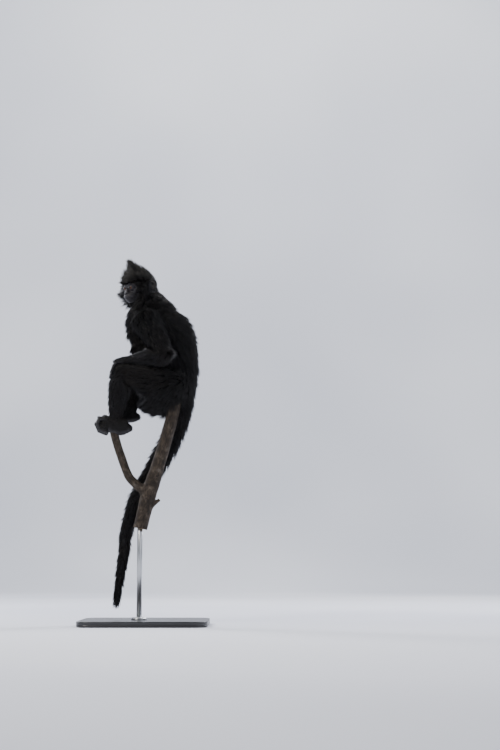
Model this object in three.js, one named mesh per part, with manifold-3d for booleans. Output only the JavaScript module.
// A life-size ebony langur (Javan leaf monkey) sitting on a lopped branch, on a plain display stand.
// Millimetres, +Z up. The animal faces -X, its left side is -Y, and the origin is the middle of the
// stand's underside. Every solid of the animal is drawn at the outer surface of its coat.
import * as THREE from "three";
import Module from "manifold-3d";

// ---------------------------------------------------------------- driving dimensions
const GAP = 0.35; // clearance that one solid keeps to the next
const BASE = { long: 400, wide: 300, thick: 18, corner: 40 };
const ROD = { radius: 8, collarRadius: 24, collarTall: 9, sunk: 26 };
const STEM = { radius: 20, top: 723, cut: 300, y: -12 };
const HEAD = { at: [-28, 4, 1076], turn: 40, nod: 13 }; // degrees towards the left side, and downwards
const EYE = { forward: 41.5, out: 15.5, up: 1, radius: 9.5 };
const FINGER_RADIUS = 5.4;
const TOE_RADIUS = 6.2;

const wasm = await Module();
wasm.setup();

// ---------------------------------------------------------------- solids
const toVector = ([x, y, z]) => new THREE.Vector3(x, y, z);

// A closed solid from vertices and faces, turned the right way out.
function closedSolid(vertices, faces) {
  const vertProperties = new Float32Array(vertices);
  const build = (list) =>
    new wasm.Manifold(new wasm.Mesh({ numProp: 3, vertProperties, triVerts: new Uint32Array(list) }));
  const made = build(faces);
  if (made.volume() > 0) return made;
  return build(faces.map((_, i) => faces[i % 3 === 1 ? i + 1 : i % 3 === 2 ? i - 1 : i]));
}

const plain = {
  sides: 10,
  rings: 5,
  side: [0, 1, 0],
  domes: [0.8, 0.8],
  domeSteps: [0.75],
  from: 0,
  to: 1,
  level: null,
  grow: 0,
};

// A smooth body drawn through stations [x, y, z, halfWidth, halfDepth]: the width is measured along
// `side`, and each end is a dome whose height is a share of the depth. `from` and `to` keep one stretch
// of the line, `level` keeps every section square to one direction instead of to the line, and `grow`
// swells the body on every side.
function loft(stations, options) {
  const { sides, rings, side, domes, domeSteps, from, to, level, grow } = { ...plain, ...options };
  const line = new THREE.CatmullRomCurve3(stations.map(toVector), false, "catmullrom", 0.5);
  const sizes = new THREE.CatmullRomCurve3(
    stations.map(([, , , wide, deep]) => new THREE.Vector3(wide, deep, 0)),
    false,
    "catmullrom",
    0.5,
  );
  const vertices = [];
  const faces = [];
  const alongAt = (t) => (level ? toVector(level) : line.getTangent(t));
  const ring = (t, shrink, lift) => {
    const along = alongAt(t);
    const across = toVector(side).addScaledVector(along, -toVector(side).dot(along)).normalize();
    const deepWay = along.clone().cross(across);
    const size = sizes.getPoint(t);
    const middle = line.getPoint(t).addScaledVector(along, lift);
    for (let i = 0; i < sides; i++) {
      const a = (2 * Math.PI * i) / sides;
      const p = middle
        .clone()
        .addScaledVector(across, (size.x + grow) * shrink * Math.cos(a))
        .addScaledVector(deepWay, (size.y + grow) * shrink * Math.sin(a));
      vertices.push(p.x, p.y, p.z);
    }
  };
  const ends = [from, to];
  const dome = (end) => domes[end] * sizes.getPoint(ends[end]).y + grow;
  for (const share of [...domeSteps].reverse()) ring(from, Math.sqrt(1 - share * share), -dome(0) * share);
  for (let i = 0; i <= rings; i++) ring(from + ((to - from) * i) / rings, 1, 0);
  for (const share of domeSteps) ring(to, Math.sqrt(1 - share * share), dome(1) * share);
  const count = vertices.length / 3 / sides;
  for (let r = 0; r + 1 < count; r++)
    for (let i = 0; i < sides; i++) {
      const [a, b] = [r * sides + i, r * sides + ((i + 1) % sides)];
      faces.push(a, b, b + sides, a, b + sides, a + sides);
    }
  for (const end of [0, 1]) {
    const pole = vertices.length / 3;
    const first = end ? (count - 1) * sides : 0;
    const p = line.getPoint(ends[end]).addScaledVector(alongAt(ends[end]), (end ? 1 : -1) * dome(end));
    vertices.push(p.x, p.y, p.z);
    for (let i = 0; i < sides; i++) {
      const [a, b] = [first + i, first + ((i + 1) % sides)];
      faces.push(...(end ? [a, b, pole] : [b, a, pole]));
    }
  }
  return closedSolid(vertices, faces);
}

// Any closed three.js geometry as a solid.
function solidFrom(geometry) {
  const corners = geometry.index ? geometry.toNonIndexed() : geometry;
  const at = corners.attributes.position.array;
  const places = new Map();
  const vertices = [];
  const faces = [];
  for (let i = 0; i < at.length; i += 3) {
    const key = [0, 1, 2].map((k) => Math.round(at[i + k] * 1e3)).join();
    if (!places.has(key)) {
      places.set(key, vertices.length / 3);
      vertices.push(at[i], at[i + 1], at[i + 2]);
    }
    faces.push(places.get(key));
  }
  const whole = faces.filter((_, i) => {
    const [a, b, c] = faces.slice(i - (i % 3), i - (i % 3) + 3);
    return a !== b && b !== c && a !== c;
  });
  return closedSolid(vertices, whole);
}

const joined = (solids) => solids.reduce((a, b) => a.add(b));
const largest = (solid) => solid.decompose().reduce((a, b) => (a.volume() > b.volume() ? a : b));

// ---------------------------------------------------------------- the stand
function slab() {
  const [x, y, r] = [BASE.long / 2, BASE.wide / 2, BASE.corner];
  const outline = new THREE.Shape()
    .moveTo(-x + r, -y)
    .lineTo(x - r, -y)
    .absarc(x - r, -y + r, r, -Math.PI / 2, 0)
    .lineTo(x, y - r)
    .absarc(x - r, y - r, r, 0, Math.PI / 2)
    .lineTo(-x + r, y)
    .absarc(-x + r, y - r, r, Math.PI / 2, Math.PI)
    .lineTo(-x, -y + r)
    .absarc(-x + r, -y + r, r, Math.PI, 1.5 * Math.PI);
  const settings = { depth: BASE.thick, bevelEnabled: false, curveSegments: 5 };
  return solidFrom(new THREE.ExtrudeGeometry(outline, settings));
}

// A round bar standing on the slab under the stem's cut end, from `low` to `high`.
function upright(radius, low, high, sides) {
  const geometry = new THREE.CylinderGeometry(radius, radius, high - low, sides);
  geometry.rotateX(Math.PI / 2).translate(stemStations[0][0], STEM.y, (low + high) / 2);
  return solidFrom(geometry);
}

const collar = (grow = 0) =>
  upright(ROD.collarRadius + grow, BASE.thick + GAP, BASE.thick + ROD.collarTall + grow, 20);
const rod = (grow = 0) => upright(ROD.radius + grow, BASE.thick + GAP, STEM.cut + ROD.sunk + grow, 16);

// ---------------------------------------------------------------- the perch
const stemStations = [
  [-17, STEM.y, STEM.cut, 21, 21],
  [-12, STEM.y, 325, 20.5, 20.5],
  [-3, STEM.y, 362, 20, 22],
  [9, STEM.y, 412, 21, 26],
  [20, STEM.y, 444, 21, 25],
  [34, STEM.y, 490, 20, 21],
  [56, STEM.y, 560, 20, 20],
  [78, STEM.y, 640, 20, 20],
  [96, STEM.y, STEM.top, STEM.radius, STEM.radius],
];
const branchStations = [
  [-4, STEM.y, 418, 14, 16],
  [-31, -12, 438, 12.5, 14],
  [-55, -12, 465, 12, 12],
  [-75, -13, 514, 12, 12],
  [-90, -14, 556, 12, 12],
  [-107, -15, 618, 12.5, 12.5],
];
const stubStations = [
  [4, STEM.y, 364, 9, 11],
  [24, -14, 376, 7, 8],
  [42, -16, 389, 5, 5],
];
const sawn = { domes: [0, 0], domeSteps: [] };
const wood = {
  stem: (grow = 0) => loft(stemStations, { ...sawn, sides: 12, rings: 8, grow }),
  branch: (grow = 0) => loft(branchStations, { ...sawn, sides: 10, rings: 7, grow }),
  stub: (grow = 0) => loft(stubStations, { ...sawn, sides: 8, rings: 3, domes: [0, 0.5], grow }),
};

// ---------------------------------------------------------------- the head, in its own frame
// A point of the head is given by its distances forward, to the left and up from the skull's middle.
const turn = THREE.MathUtils.degToRad(HEAD.turn);
const nod = THREE.MathUtils.degToRad(HEAD.nod);
const forwardWay = new THREE.Vector3(-Math.cos(turn), -Math.sin(turn), -Math.tan(nod)).normalize();
const leftWay = new THREE.Vector3(Math.sin(turn), -Math.cos(turn), 0);
const upWay = forwardWay.clone().cross(leftWay);
const onHead = (forward, left, up) =>
  toVector(HEAD.at)
    .addScaledVector(forwardWay, forward)
    .addScaledVector(leftWay, left)
    .addScaledVector(upWay, up)
    .toArray();
// A direction in the head's own level plane.
const headWay = (forward, left) =>
  forwardWay.clone().multiplyScalar(forward).addScaledVector(leftWay, left).normalize().toArray();
const headLoft = (stations, options) =>
  loft(
    stations.map(([f, l, u, wide, deep]) => [...onHead(f, l, u), wide, deep]),
    { side: headWay(0, 1), ...options },
  );

// The rounded head behind and below the eyes.
const cranium = (grow) =>
  headLoft(
    [
      [-30, 0, -4, 35, 36],
      [-10, 0, 0, 44, 43],
      [12, 0, -2, 48, 42],
      [30, 0, -6, 42, 36],
      [38, 0, -8, 34, 28],
    ],
    { sides: 10, rings: 3, domes: [0.5, 0.3], grow },
  );

// The thick hair of the crown, which hangs over the brows.
const cap = (grow) =>
  headLoft(
    [
      [-30, 0, 14, 35, 30],
      [-8, 0, 22, 44, 32],
      [18, 0, 28, 45, 29],
      [38, 0, 28, 43, 25],
    ],
    { sides: 10, rings: 3, domes: [0.6, 0.65], grow },
  );

// The fan of long hairs on one cheek, out to its tip: `hand` is 1 on the left, -1 on the right.
const whiskers = (hand, grow) =>
  headLoft(
    [
      [2, 24 * hand, -20, 25, 34],
      [16, 46 * hand, -18, 14, 27],
      [27, 62 * hand, -16, 6, 16],
      [33, 75 * hand, -14, 2.5, 6],
    ],
    { sides: 6, rings: 2, side: headWay(1, 0), domes: [0.2, 0.9], grow },
  );

// The hair under the jaw, in one point on each side.
const beard = (hand, grow) =>
  headLoft(
    [
      [17, 12 * hand, -34, 18, 22],
      [22, 15 * hand, -53, 14, 17],
      [26, 17 * hand, -70, 7, 8],
    ],
    { sides: 6, rings: 2, domes: [0.3, 0.8], grow },
  );

const headCoat = (grow = 0) =>
  joined([
    cranium(grow),
    cap(grow),
    ...[1, -1].flatMap((hand) => [whiskers(hand, grow), beard(hand, grow)]),
  ]);

const crest = (grow = 0) =>
  headLoft(
    [
      [-4, 0, 38, 36, 38],
      [-2, 0, 54, 26, 33],
      [11, 0, 68, 13, 20],
      [27, 0, 84, 2.5, 4],
    ],
    { sides: 10, rings: 3, level: upWay.toArray(), domes: [0.1, 0.8], grow },
  );

// Bridge of the nose, upper lip and chin.
const muzzle = (grow = 0) =>
  joined([
    headLoft(
      [
        [36, 0, 0, 8, 10],
        [49, 0, -9, 9, 9],
        [60, 0, -18, 12, 7.5],
      ],
      { sides: 8, rings: 2, domes: [0.3, 0.5], grow },
    ),
    headLoft(
      [
        [30, 0, -25, 26, 17],
        [48, 0, -25, 21, 14],
        [59, 0, -25, 14, 8.5],
      ],
      { sides: 8, rings: 3, domes: [0.2, 0.5], grow },
    ),
    headLoft(
      [
        [24, 0, -40, 22, 11],
        [46, 0, -40, 18, 9.5],
        [56, 0, -37, 11, 7],
      ],
      { sides: 8, rings: 2, domes: [0.3, 0.6], grow },
    ),
  ]);

const ear = (hand) => (grow = 0) =>
  headLoft(
    [
      [-4, 37 * hand, -7, 6, 12],
      [-10, 46 * hand, 0, 4.5, 16.5],
      [-16, 54 * hand, 4, 3.5, 15.5],
      [-20, 60 * hand, 6, 2.2, 9],
    ],
    { sides: 8, rings: 4, side: headWay(0.75, 0.65 * hand), domes: [0.2, 0.35], grow },
  );

const eyeball = (hand) => (grow = 0) => {
  const ball = new THREE.SphereGeometry(EYE.radius + grow, 8, 6);
  return solidFrom(ball.translate(...onHead(EYE.forward, EYE.out * hand, EYE.up)));
};

// ---------------------------------------------------------------- neck, trunk and tail
const neck = (grow = 0) =>
  loft(
    [
      [-2, 2, 1056, 37, 38],
      [3, 1, 1034, 47, 50],
      [6, 0, 1010, 57, 69],
      [9, 0, 986, 58, 72],
    ],
    { sides: 12, rings: 3, domes: [0.3, 0.15], grow },
  );

// The trunk from the shoulders down; it is drawn in three lengths, each between two of these stations.
const trunkStations = [
  [10, 0, 1000, 60, 79],
  [16, 0, 955, 74, 93],
  [38, 0, 918, 77, 105],
  [52, 0, 880, 80, 107],
  [57, 0, 840, 83, 106],
  [58, 0, 800, 84, 106],
  [54, 2, 758, 83, 101],
  [31, 7, 717, 68, 79],
  [5, 7, 692, 55, 50],
];
const tailStations = [
  [119, 4, 752, 34, 34],
  [112, 14, 700, 35, 35],
  [100, 30, 650, 37, 37],
  [84, 42, 608, 38, 38],
  [67, 44, 570, 36, 36],
  [41, 42, 522, 33, 33],
  [13, 39, 470, 29, 29],
  [-12, 36, 430, 25.5, 25.5],
  [-34, 33, 390, 22.5, 22.5],
  [-49, 31, 345, 21, 21],
  [-59, 30, 306, 19.5, 19.5],
  [-66, 29, 275, 18, 18],
  [-69, 28, 235, 17.5, 17.5],
  [-77, 27, 179, 16.5, 16.5],
  [-86, 26, 115, 14, 14],
  [-92, 26, 58, 9, 9],
];
// One length of a long body, from one station to another, with blunt ends where it meets the next one.
const length = (stations, first, last, options) => (grow = 0) => {
  const [from, to] = [first / (stations.length - 1), last / (stations.length - 1)];
  return loft(stations, { from, to, rings: last - first, domes: [0, 0], domeSteps: [], grow, ...options });
};

// ---------------------------------------------------------------- limbs
// Each joint's place, on the left (near) and right (far) side.
const left = {
  hip: [90, -38, 772],
  knee: [-76, -66, 789],
  ankle: [-97, -20, 650],
  shoulder: [-2, -56, 960],
  elbow: [62, -106, 838],
  wrist: [-56, -76, 826],
};
const right = {
  hip: [90, 36, 765],
  knee: [-72, 84, 791],
  ankle: [-59, 22, 664],
  shoulder: [2, 58, 960],
  elbow: [62, 114, 840],
  wrist: [-54, 94, 828],
};
// A point part of the way from one joint to the next, moved by `shift`.
const between = (a, b, share, shift = [0, 0, 0]) => a.map((v, i) => v + (b[i] - v) * share + shift[i]);

const thigh = ({ hip, knee }) => (grow = 0) =>
  loft(
    [
      [...hip, 46, 48],
      [...between(hip, knee, 0.3, [0, 0, -6]), 46, 55],
      [...between(hip, knee, 0.62, [0, 0, -6]), 41, 50],
      [...between(hip, knee, 0.86), 33, 38],
      [...knee, 26, 27],
    ],
    { sides: 10, rings: 4, domes: [0.5, 0.8], grow },
  );

// `calf` moves the bulge of the calf backwards.
const shank = ({ knee, ankle }, calf) => (grow = 0) =>
  loft(
    [
      [...knee, 25, 27],
      [...between(knee, ankle, 0.32, [calf, 0, 0]), 26, 33],
      [...between(knee, ankle, 0.65, [calf, 0, 0]), 22, 29],
      [...ankle, 18, 23],
    ],
    { sides: 8, rings: 4, domes: [0.5, 0.4], grow },
  );

const upperArm = ({ shoulder, elbow }) => (grow = 0) =>
  loft(
    [
      [...shoulder, 34, 42],
      [...between(shoulder, elbow, 0.4), 33, 39],
      [...between(shoulder, elbow, 0.78), 28, 31],
      [...elbow, 25, 26],
    ],
    { sides: 8, rings: 3, domes: [0.7, 0.7], grow },
  );

const forearm = ({ elbow, wrist }) => (grow = 0) =>
  loft(
    [
      [...elbow, 23, 24],
      [...between(elbow, wrist, 0.35), 24, 25],
      [...between(elbow, wrist, 0.75), 18, 18],
      [...wrist, 13.5, 11],
    ],
    { sides: 8, rings: 4, domes: [0.6, 0.4], grow },
  );

// A finger or toe through its joints, thinner towards the tip.
const digit = (points, radius, grow) =>
  loft(
    points.map((p, i) => [...p, radius * (1 - 0.07 * i), radius * (1 - 0.07 * i)]),
    { sides: 6, rings: 3, domes: [0.3, 0.9], grow },
  );

// A hand laid over its knee, fingers hanging down in front. `out` is 1 or -1, away from the body.
const hand = ({ knee, wrist }, out) => (grow = 0) => {
  const knuckle = (k) => [
    knee[0] - 17 + Math.abs(k - 1.4),
    knee[1] + out * (9.8 * k - 13),
    knee[2] + 33 - 1.4 * k,
  ];
  const palm = loft(
    [
      [...wrist, 12, 9.5],
      [...between(wrist, knuckle(1.5), 0.5, [0, 0, 2]), 18, 9.5],
      [...knuckle(1.5), 20, 8],
    ],
    { sides: 8, rings: 3, domes: [0.4, 0.5], grow },
  );
  const reach = [0.93, 1.02, 1, 0.84];
  const fingers = reach.map((long, k) => {
    const [x, y, z] = knuckle(k);
    const spread = out * (k - 1.3) * 1.2;
    return digit(
      [
        [x + 4, y, z + 2],
        [x - 10 * long, y + spread, z - 12 * long],
        [x - 16 * long, y + 2 * spread, z - 31 * long],
        [x - 19 * long, y + 2 * spread, z - 48 * long],
      ],
      FINGER_RADIUS,
      grow,
    );
  });
  const [x, y, z] = between(wrist, knuckle(0), 0.45);
  const thumb = digit(
    [
      [x, y - out * 6, z - 1],
      [x - 10, y - out * 17, z - 6],
      [x - 18, y - out * 22, z - 14],
    ],
    FINGER_RADIUS,
    grow,
  );
  return joined([palm, thumb, ...fingers]);
};

// A foot arched over the branch's cut end, the heel low behind it and the toes curled down in front.
// `inwards` is the way to the other foot; `heel` and `drop` say how far the heel lies behind and below
// the ankle, and `deep` is half the depth of the instep.
const foot = ({ ankle }, inwards, heel, drop, deep) => (grow = 0) => {
  const [x, y, z] = ankle;
  const ball = (k) => [x - 35 + 1.5 * Math.abs(k - 1.5), y - inwards * (9.6 * k - 14.4), z - 6];
  const sole = loft(
    [
      [x + heel, y, z - drop, 12, 13],
      [x + heel * 0.5, y, z - 0.4 * drop + 8 - deep, 15, deep],
      [x - 14, y, z + 4 - deep, 17, deep + 1],
      [x - 36, y, z - 16, 20, 25],
    ],
    { sides: 8, rings: 3, domes: [0.6, 0.4], grow },
  );
  const reach = [0.9, 1, 1.02, 0.9];
  const toes = reach.map((long, k) => {
    const [bx, by, bz] = ball(k);
    return digit(
      [
        [bx + 3, by, bz],
        [bx - 18 * long, by, bz + 2 * long],
        [bx - 27 * long, by + inwards, bz - 24 * long],
        [bx + 2 * long, by + inwards * 3, bz - 46 * long],
      ],
      TOE_RADIUS,
      grow,
    );
  });
  const bigToe = digit(
    [
      [x - 8, y + inwards * 12, z - 18],
      [x - 23, y + inwards * 14, z - 31],
      [x - 34, y + inwards * 12, z - 43],
    ],
    TOE_RADIUS + 1,
    grow,
  );
  return joined([sole, bigToe, ...toes]);
};

// The horny pad the animal sits on, at `y` across the stem's cut top.
const callosity = (y) => (grow = 0) =>
  loft(
    [
      [78, y, STEM.top + 7.5, 11, 7],
      [94, y, STEM.top + 7, 12, 7],
      [109, y, STEM.top + 8, 10, 7],
    ],
    { sides: 8, rings: 2, domes: [0.8, 0.8], grow },
  );

// ---------------------------------------------------------------- parts in order
// Each part gives way to every one before it, so the hard things come first.
const parts = [
  ["stand_base", slab, "stand"],
  ["stand_collar", collar, "steel"],
  ["stand_rod", rod, "steel"],
  ["perch_stem", wood.stem, "bark"],
  ["perch_branch", wood.branch, "bark"],
  ["perch_stub", wood.stub, "bark"],
  ["eye_left", eyeball(1), "eye"],
  ["eye_right", eyeball(-1), "eye"],
  ["callosity_left", callosity(-26), "pad"],
  ["callosity_right", callosity(2), "pad"],
  ["hand_left", hand(left, -1), "skin"],
  ["hand_right", hand(right, 1), "skin"],
  ["foot_left", foot(left, 1, 40, 33, 25), "skin"],
  ["foot_right", foot(right, -1, 25, 8, 17), "skin"],
  ["ear_left", ear(1), "skin"],
  ["ear_right", ear(-1), "skin"],
  ["muzzle", muzzle, "skin"],
  ["neck", neck, "coat"],
  ["head", headCoat, "coat"],
  ["crest", crest, "coat"],
  ["chest", length(trunkStations, 0, 3, { sides: 14, domes: [0.3, 0] }), "coat"],
  ["belly", length(trunkStations, 3, 5, { sides: 14 }), "coat"],
  ["hips", length(trunkStations, 5, 8, { sides: 14, domes: [0, 0.55], domeSteps: [0.7] }), "coat"],
  ["tail_base", length(tailStations, 0, 5, {}), "coat"],
  ["tail_middle", length(tailStations, 5, 10, {}), "coat"],
  ["tail_end", length(tailStations, 10, 15, { domes: [0, 1.2], domeSteps: [0.75] }), "coat"],
  ["thigh_left", thigh(left), "coat"],
  ["thigh_right", thigh(right), "coat"],
  ["shank_left", shank(left, 1), "coat"],
  ["shank_right", shank(right, 9), "coat"],
  ["upper_arm_left", upperArm(left), "coat"],
  ["upper_arm_right", upperArm(right), "coat"],
  ["forearm_left", forearm(left), "coat"],
  ["forearm_right", forearm(right), "coat"],
];

const materials = {
  stand: new THREE.MeshStandardMaterial({ color: "#4a4b4d", roughness: 0.5 }),
  steel: new THREE.MeshStandardMaterial({ color: "#b9bbbd", roughness: 0.3, metalness: 1 }),
  bark: new THREE.MeshStandardMaterial({ color: "#6b5a48", roughness: 0.9 }),
  eye: new THREE.MeshStandardMaterial({ color: "#3b1d0c", roughness: 0.1 }),
  pad: new THREE.MeshStandardMaterial({ color: "#4b4848", roughness: 0.7 }),
  skin: new THREE.MeshStandardMaterial({ color: "#26242a", roughness: 0.6 }),
  coat: new THREE.MeshStandardMaterial({ color: "#101014", roughness: 0.7 }),
};

// A solid as a three.js mesh whose own origin is the middle of its box.
function meshOf(name, solid, material) {
  const { vertProperties, numProp, triVerts } = solid.getMesh();
  const geometry = new THREE.BufferGeometry();
  const at = new Float32Array((vertProperties.length / numProp) * 3);
  for (let i = 0; i < at.length; i++) at[i] = vertProperties[Math.floor(i / 3) * numProp + (i % 3)];
  geometry.setAttribute("position", new THREE.BufferAttribute(at, 3));
  geometry.setIndex(new THREE.BufferAttribute(triVerts, 1));
  geometry.computeBoundingBox();
  const middle = geometry.boundingBox.getCenter(new THREE.Vector3());
  geometry.translate(-middle.x, -middle.y, -middle.z);
  geometry.computeVertexNormals();
  const mesh = new THREE.Mesh(geometry, material);
  mesh.name = name;
  mesh.position.copy(middle);
  return mesh;
}

const groups = { stand: new THREE.Group(), perch: new THREE.Group(), animal: new THREE.Group() };
const cutters = [];
for (const [name, make, look] of parts) {
  let solid = make(0);
  for (const cutter of cutters) solid = solid.subtract(cutter);
  cutters.push(make(GAP));
  const family = name.split("_")[0];
  (groups[family] ?? groups.animal).add(meshOf(name, largest(solid), materials[look]));
}

const monkey = new THREE.Group();
monkey.add(groups.stand, groups.perch, groups.animal);
export default monkey;
